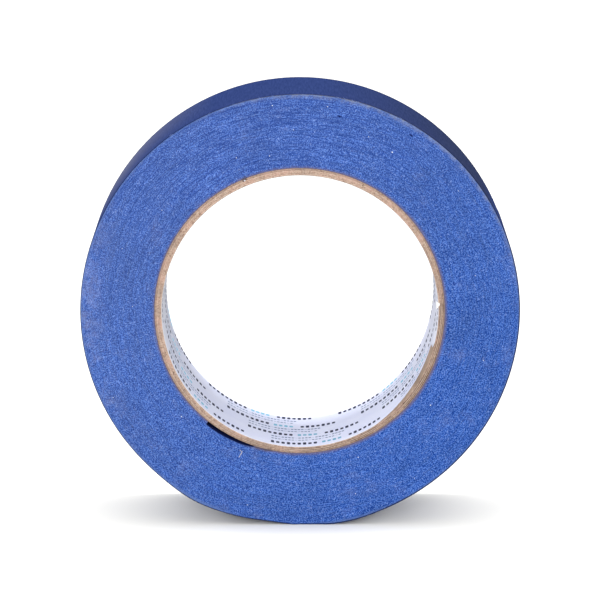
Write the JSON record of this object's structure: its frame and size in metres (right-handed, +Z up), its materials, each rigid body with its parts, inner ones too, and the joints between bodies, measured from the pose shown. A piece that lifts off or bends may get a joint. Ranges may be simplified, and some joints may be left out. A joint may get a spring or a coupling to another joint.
{
  "type": "masking tape roll",
  "caption": "Roll of blue crepe-paper masking tape wound on a spiral-wound kraft core with a printed white liner and a free end that peels off the rim.",
  "frame": {"origin": "centre of the core's bore, halfway across the tape's width", "axes": "+Y runs along the bore from the front face to the back face, +Z is up and +X is to the right seen from the front; the roll stands on its rim on -Z"},
  "size_m": [0.1214, 0.036, 0.121],
  "materials": {
    "liner_paper": "satin",
    "kraft_board": "matte",
    "crepe_tape": "matte",
    "crepe_backing": "satin",
    "adhesive": "gloss"
  },
  "bodies": {
    "roll": {"core_liner": "liner_paper", "core_inner_ply": "kraft_board", "core_second_ply": "kraft_board", "core_third_ply": "kraft_board", "core_outer_ply": "kraft_board", "wound_tape": "crepe_tape"},
    "free_end": {"free_end_backing": "crepe_backing", "free_end_adhesive": "adhesive"}
  },
  "joints": [
    {"name": "free_end_peel", "type": "hinge", "parent": "roll", "child": "free_end", "pos_m": [0.06071, 0, 0.00217], "axis": [0, 1, 0], "range_deg": [0, 150]}
  ]
}
